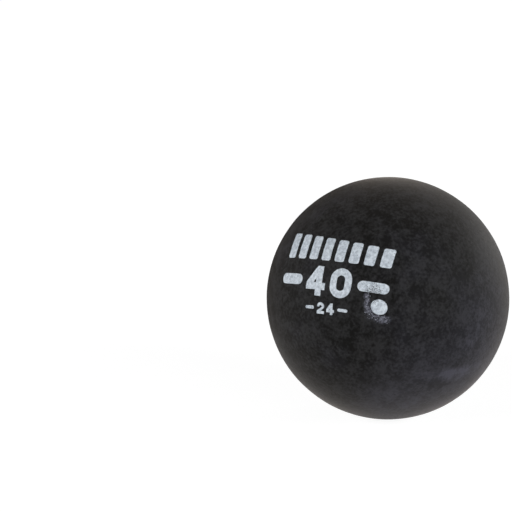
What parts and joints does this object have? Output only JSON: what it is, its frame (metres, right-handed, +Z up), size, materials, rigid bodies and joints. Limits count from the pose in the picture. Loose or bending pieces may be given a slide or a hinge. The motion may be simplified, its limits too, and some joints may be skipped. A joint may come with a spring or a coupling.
{
  "type": "squash ball",
  "caption": "Hollow black rubber squash ball, made of moulded half shells cemented along a seam, with a plain stamped ink mark and a red dot.",
  "frame": {"origin": "the ball's centre", "axes": "+Z up as the ball lies in the picture, -Y towards the viewer, +X to the viewer's right; the seam's axis leans 20 degrees from +Z"},
  "size_m": [0.04, 0.04, 0.04],
  "materials": {
    "ball_rubber": "buffed matt black rubber",
    "rubber_cement": "dried black rubber cement, flush",
    "pale_ink": "pale blue-grey stamped ink, lightly worn",
    "red_ink": "red stamped ink"
  },
  "bodies": {
    "root": {"upper_half_shell": "ball_rubber", "lower_half_shell": "ball_rubber", "seam_cement": "rubber_cement", "print_blocks": "pale_ink", "print_large_numerals": "pale_ink", "print_small_numerals": "pale_ink", "print_small_dot": "pale_ink", "speed_dot": "red_ink"}
  },
  "joints": []
}
